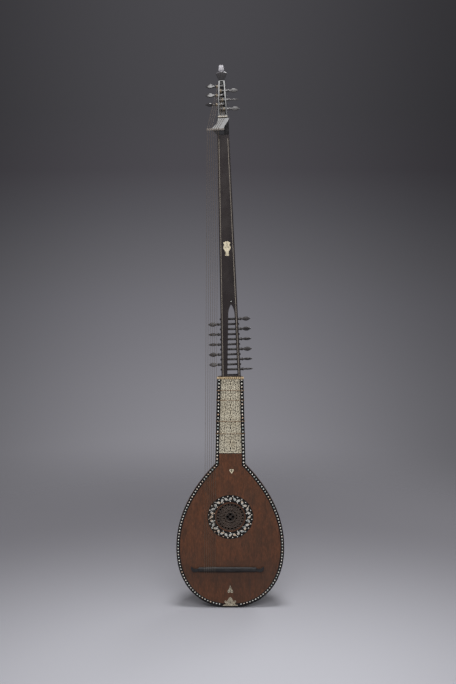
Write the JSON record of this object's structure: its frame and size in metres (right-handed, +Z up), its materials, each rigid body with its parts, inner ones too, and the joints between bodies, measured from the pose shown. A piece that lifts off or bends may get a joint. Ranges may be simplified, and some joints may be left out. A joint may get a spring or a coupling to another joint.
{
  "type": "archlute",
  "caption": "Long plucked lute with a ribbed pear-shaped bowl, pierced rose, fretted neck and a straight neck extension carrying bass strings to a second pegbox.",
  "frame": {"origin": "middle of the bounding box at its lowest point, the foot of the end clasp", "axes": "+Z up along the instrument to the finial, -Y out of the soundboard, -X to the bass side"},
  "size_m": [0.3648, 0.1732, 1.8252],
  "materials": {
    "spruce": "satin, old red-brown varnish over fine straight grain",
    "rosewood": "satin, dark figured hardwood",
    "ebony": "satin, near-black hardwood",
    "stained_hardwood": "satin, black-stained hardwood",
    "ivory": "polished cream, yellowed",
    "pale_wood": "raw softwood",
    "gut": "translucent tan, twisted",
    "iron": "forged, matt"
  },
  "bodies": {
    "instrument": {"bass_nut": "ivory", "bass_string_1": "gut", "bass_string_2": "gut", "bass_string_3": "gut", "bass_string_4": "gut", "bass_string_5": "gut", "bass_string_6": "gut", "bridge": "ebony", "edge_band_bass": "ebony", "edge_band_treble": "ebony", "end_clasp": "ebony", "end_ornament": "ivory", "extension": "stained_hardwood", "fingerboard": "ivory", "finial": "ebony", "head": "ebony", "head_nut": "ivory", "heart_inlay": "ivory", "ivory_line_bass": "ivory", "ivory_line_treble": "ivory", "neck": "stained_hardwood", "neck_block": "pale_wood", "neck_nail": "iron", "nut": "ivory", "rib_1": "rosewood", "rib_2": "rosewood", "rib_3": "rosewood", "rib_4": "rosewood", "rib_5": "rosewood", "rib_6": "rosewood", "rib_7": "rosewood", "rose": "rosewood", "rosette_ring": "ebony", "soundboard": "spruce", "soundboard_bar_1": "pale_wood", "soundboard_bar_2": "pale_wood", "soundboard_bar_3": "pale_wood", "spade_inlay": "ivory", "vase_plaque": "ivory"},
    "lower_peg_1": {"lower_peg_1": "ebony"},
    "lower_peg_2": {"lower_peg_2": "ebony"},
    "lower_peg_3": {"lower_peg_3": "ebony"},
    "lower_peg_4": {"lower_peg_4": "ebony"},
    "lower_peg_5": {"lower_peg_5": "ebony"},
    "lower_peg_6": {"lower_peg_6": "ebony"},
    "lower_peg_7": {"lower_peg_7": "ebony"},
    "lower_peg_8": {"lower_peg_8": "ebony"},
    "lower_peg_9": {"lower_peg_9": "ebony"},
    "lower_peg_10": {"lower_peg_10": "ebony"},
    "lower_peg_11": {"lower_peg_11": "ebony"},
    "upper_peg_1": {"upper_peg_1": "ebony"},
    "upper_peg_2": {"upper_peg_2": "ebony"},
    "upper_peg_3": {"upper_peg_3": "ebony"},
    "upper_peg_4": {"upper_peg_4": "ebony"},
    "upper_peg_5": {"upper_peg_5": "ebony"},
    "upper_peg_6": {"upper_peg_6": "ebony"},
    "fret_1": {"fret_1": "gut"},
    "fret_2": {"fret_2": "gut"},
    "fret_3": {"fret_3": "gut"},
    "fret_4": {"fret_4": "gut"}
  },
  "joints": [
    {"name": "lower_peg_1_turn", "type": "hinge", "parent": "instrument", "child": "lower_peg_1", "pos_m": [0.00198, -0.05635, 0.82719], "axis": [0.9995, 0, 0.0323], "continuous": true},
    {"name": "lower_peg_2_turn", "type": "hinge", "parent": "instrument", "child": "lower_peg_2", "pos_m": [0.00143, -0.05635, 0.84415], "axis": [0.9995, 0, 0.0323], "continuous": true},
    {"name": "lower_peg_3_turn", "type": "hinge", "parent": "instrument", "child": "lower_peg_3", "pos_m": [0.00088, -0.05635, 0.86111], "axis": [0.9995, 0, 0.0323], "continuous": true},
    {"name": "lower_peg_4_turn", "type": "hinge", "parent": "instrument", "child": "lower_peg_4", "pos_m": [0.00034, -0.05635, 0.87807], "axis": [0.9995, 0, 0.0323], "continuous": true},
    {"name": "lower_peg_5_turn", "type": "hinge", "parent": "instrument", "child": "lower_peg_5", "pos_m": [-0.00021, -0.05635, 0.89503], "axis": [0.9995, 0, 0.0323], "continuous": true},
    {"name": "lower_peg_6_turn", "type": "hinge", "parent": "instrument", "child": "lower_peg_6", "pos_m": [-0.00076, -0.05635, 0.91199], "axis": [0.9995, 0, 0.0323], "continuous": true},
    {"name": "lower_peg_7_turn", "type": "hinge", "parent": "instrument", "child": "lower_peg_7", "pos_m": [-0.00131, -0.05635, 0.92895], "axis": [0.9995, 0, 0.0323], "continuous": true},
    {"name": "lower_peg_8_turn", "type": "hinge", "parent": "instrument", "child": "lower_peg_8", "pos_m": [-0.00186, -0.05635, 0.94592], "axis": [0.9995, 0, 0.0323], "continuous": true},
    {"name": "lower_peg_9_turn", "type": "hinge", "parent": "instrument", "child": "lower_peg_9", "pos_m": [-0.0024, -0.05635, 0.96288], "axis": [0.9995, 0, 0.0323], "continuous": true},
    {"name": "lower_peg_10_turn", "type": "hinge", "parent": "instrument", "child": "lower_peg_10", "pos_m": [-0.00295, -0.05635, 0.97984], "axis": [0.9995, 0, 0.0323], "continuous": true},
    {"name": "lower_peg_11_turn", "type": "hinge", "parent": "instrument", "child": "lower_peg_11", "pos_m": [-0.0035, -0.05635, 0.9968], "axis": [0.9995, 0, 0.0323], "continuous": true},
    {"name": "upper_peg_1_turn", "type": "hinge", "parent": "instrument", "child": "upper_peg_1", "pos_m": [-0.02572, -0.06009, 1.68484], "axis": [0.9995, 0, 0.0323], "range_deg": [-45, 45]},
    {"name": "upper_peg_2_turn", "type": "hinge", "parent": "instrument", "child": "upper_peg_2", "pos_m": [-0.02619, -0.05798, 1.69919], "axis": [0.9995, 0, 0.0323], "range_deg": [-45, 45]},
    {"name": "upper_peg_3_turn", "type": "hinge", "parent": "instrument", "child": "upper_peg_3", "pos_m": [-0.02665, -0.05586, 1.71355], "axis": [0.9995, 0, 0.0323], "range_deg": [-45, 45]},
    {"name": "upper_peg_4_turn", "type": "hinge", "parent": "instrument", "child": "upper_peg_4", "pos_m": [-0.02711, -0.05375, 1.7279], "axis": [0.9995, 0, 0.0323], "range_deg": [-45, 45]},
    {"name": "upper_peg_5_turn", "type": "hinge", "parent": "instrument", "child": "upper_peg_5", "pos_m": [-0.02758, -0.05164, 1.74225], "axis": [0.9995, 0, 0.0323], "range_deg": [-45, 45]},
    {"name": "upper_peg_6_turn", "type": "hinge", "parent": "instrument", "child": "upper_peg_6", "pos_m": [-0.02804, -0.04953, 1.7566], "axis": [0.9995, 0, 0.0323], "range_deg": [-45, 45]},
    {"name": "fret_1_slide", "type": "slide", "parent": "instrument", "child": "fret_1", "axis": [0, 0, 1], "range_m": [-0.003, 0.003]},
    {"name": "fret_2_slide", "type": "slide", "parent": "instrument", "child": "fret_2", "axis": [0, 0, 1], "range_m": [-0.003, 0.003]},
    {"name": "fret_3_slide", "type": "slide", "parent": "instrument", "child": "fret_3", "axis": [0, 0, 1], "range_m": [-0.003, 0.003]},
    {"name": "fret_4_slide", "type": "slide", "parent": "instrument", "child": "fret_4", "axis": [0, 0, 1], "range_m": [-0.003, 0.003]}
  ]
}
